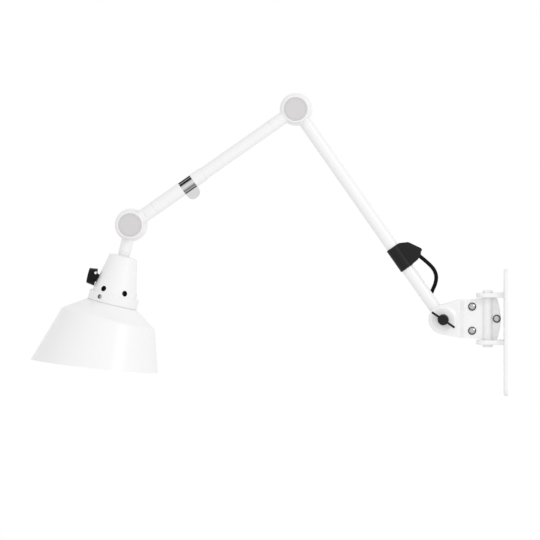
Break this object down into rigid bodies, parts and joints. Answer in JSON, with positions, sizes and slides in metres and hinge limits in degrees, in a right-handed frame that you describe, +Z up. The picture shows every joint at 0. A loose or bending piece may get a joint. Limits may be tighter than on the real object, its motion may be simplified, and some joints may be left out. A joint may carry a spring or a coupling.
{
  "type": "articulating wall lamp",
  "caption": "Wall lamp with a swinging two-plate bracket, two jointed arms, a twisting sleeve and a white conical shade with a rotary switch.",
  "frame": {"origin": "middle of the wall plate's back face, which lies on the wall", "axes": "+Z up; +X out of the wall plate's back, into the wall; the lamp reaches towards -X; -Y is the side with the wing nut"},
  "size_m": [0.6771, 0.1798, 0.4297],
  "materials": {
    "housing_paint": "satin",
    "shade_enamel": "satin",
    "cap_grey": "satin",
    "black_plastic": "satin",
    "knob_plastic": "gloss",
    "index_paint": "matte",
    "chrome": "polished",
    "steel": "brushed",
    "brass": "satin",
    "nylon": "satin",
    "friction_fibre": "matte",
    "lead_rubber": "matte",
    "porcelain": "gloss"
  },
  "bodies": {
    "wall": {"wall_plate": "housing_paint", "hinge_pin": "housing_paint", "hinge_washers": "nylon", "wall_grommet": "lead_rubber", "lead_tail": "lead_rubber"},
    "bracket": {"bracket_front_plate": "housing_paint", "bracket_rear_plate": "housing_paint", "bracket_rivets": "chrome", "shoulder_bolt": "steel", "friction_washers": "friction_fibre", "lead_clip": "steel"},
    "wing_nut": {"wing_nut": "black_plastic"},
    "lower_arm": {"shoulder_eye": "housing_paint", "lower_tube": "housing_paint", "elbow_rear_shell": "housing_paint", "cable_hood": "black_plastic", "lead_loop": "lead_rubber", "elbow_bolt": "steel", "elbow_spring_washer": "steel", "elbow_nut": "steel", "elbow_friction_disc": "friction_fibre"},
    "upper_arm": {"elbow_front_shell": "housing_paint", "elbow_cap": "cap_grey", "upper_tube": "housing_paint"},
    "swivel": {"swivel_sleeve": "housing_paint", "sleeve_liners": "nylon", "sleeve_clip": "chrome", "head_front_shell": "housing_paint", "head_cap": "cap_grey"},
    "stem": {"stem_shell": "housing_paint", "head_bolt": "steel", "head_spring_washer": "steel", "head_nut": "steel", "head_friction_disc": "friction_fibre", "swivel_nipple": "brass"},
    "head": {"swivel_bush": "nylon", "swivel_nut": "brass", "housing": "housing_paint", "collar": "housing_paint", "collar_screws": "chrome", "shade": "shade_enamel", "lamp_holder": "porcelain", "holder_strap": "steel", "switch_body": "black_plastic", "switch_bush": "brass"},
    "knob": {"switch_knob": "knob_plastic", "knob_dot": "index_paint", "switch_spindle": "brass"}
  },
  "joints": [
    {"name": "base_swing", "type": "hinge", "parent": "wall", "child": "bracket", "pos_m": [-0.0284, 0, 0.0194], "axis": [0, 0, 1], "range_deg": [-80, 80], "deforming": ["lead_tail"]},
    {"name": "wing_nut_turn", "type": "hinge", "parent": "bracket", "child": "wing_nut", "pos_m": [-0.0914, 0, 0.0182], "axis": [0, 1, 0], "range_deg": [0, 330]},
    {"name": "shoulder_tilt", "type": "hinge", "parent": "bracket", "child": "lower_arm", "pos_m": [-0.0914, 0, 0.0182], "axis": [0, 1, 0], "range_deg": [-85, 35], "deforming": ["lead_loop"]},
    {"name": "elbow_bend", "type": "hinge", "parent": "lower_arm", "child": "upper_arm", "pos_m": [-0.30018, 0, 0.31637], "axis": [0, 1, 0], "range_deg": [-30, 75]},
    {"name": "arm_twist", "type": "hinge", "parent": "upper_arm", "child": "swivel", "pos_m": [-0.30018, -0.0208, 0.31637], "axis": [-0.8192, 0, -0.5736], "range_deg": [-165, 165]},
    {"name": "head_tilt", "type": "hinge", "parent": "swivel", "child": "stem", "pos_m": [-0.53446, 0, 0.15233], "axis": [0, 1, 0], "range_deg": [-60, 70]},
    {"name": "head_turn", "type": "hinge", "parent": "stem", "child": "head", "pos_m": [-0.53446, 0, 0.15233], "axis": [0.236, 0, 0.9718], "range_deg": [-90, 90]},
    {"name": "switch_turn", "type": "hinge", "parent": "head", "child": "knob", "pos_m": [-0.55431, 0, 0.0706], "axis": [-0.9718, 0, 0.236], "range_deg": [0, 90]}
  ]
}
